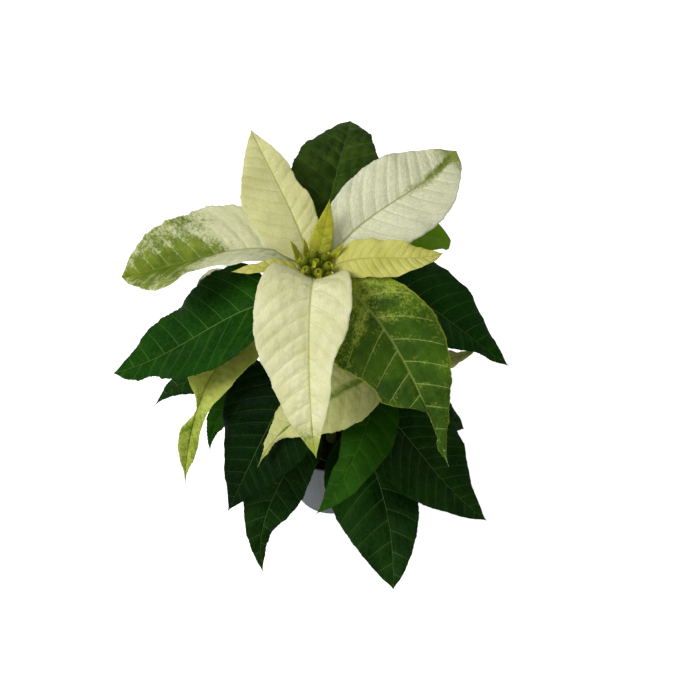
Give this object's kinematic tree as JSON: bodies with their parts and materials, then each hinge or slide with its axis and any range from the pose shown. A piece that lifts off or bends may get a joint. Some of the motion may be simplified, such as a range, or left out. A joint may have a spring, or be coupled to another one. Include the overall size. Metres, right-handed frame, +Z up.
{
  "type": "potted poinsettia",
  "caption": "Young white poinsettia in a small tapered nursery pot: mottled cream and white bracts round a head of green flowers, over dark green leaves.",
  "frame": {"origin": "centre of the pot's flat base, where it stands", "axes": "+Z up along the pot's axis, -Y the side that shows best, +X to its right"},
  "size_m": [0.2157, 0.2312, 0.2139],
  "materials": {
    "pot_plastic": "satin",
    "potting_mix": "matte",
    "stem_green": "satin",
    "flower_green": "satin",
    "bract_white": "satin",
    "bract_cream": "satin",
    "bract_yellow": "satin",
    "bract_lime": "satin",
    "bract_mottled": "satin",
    "leaf_green": "satin",
    "leaf_bright": "satin",
    "leaf_dark": "satin"
  },
  "bodies": {
    "root": {"pot": "pot_plastic", "soil": "potting_mix", "stem": "stem_green", "flowers": "flower_green", "flowers_left": "flower_green", "flowers_right": "flower_green", "bract_back_left": "bract_cream", "bract_back_right": "bract_white", "bract_right": "bract_yellow", "bract_front": "bract_white", "bract_front_right": "bract_mottled", "bract_left": "bract_white", "bract_left_small": "bract_yellow", "bract_top_small": "bract_lime", "bractlet_1": "bract_lime", "bractlet_2": "bract_lime", "bractlet_3": "bract_lime", "bractlet_4": "bract_lime", "leaf_left": "leaf_green", "leaf_right": "leaf_green", "leaf_back": "leaf_green", "leaf_back_right": "leaf_bright", "leaf_front_left": "leaf_dark", "leaf_front_right": "leaf_dark", "leaf_front_left_low": "leaf_dark", "leaf_front_low": "leaf_dark", "leaf_right_low": "leaf_dark", "leaf_left_low": "leaf_dark", "leaf_left_small": "leaf_bright", "leaf_front_bright": "leaf_bright", "leaf_behind_low": "leaf_dark", "leaf_behind_left": "leaf_dark", "leaf_behind_right": "leaf_dark", "side_bract_left": "bract_mottled", "side_bract_back": "bract_white", "side_bract_front": "bract_cream", "side_bract_right": "bract_cream"}
  },
  "joints": []
}
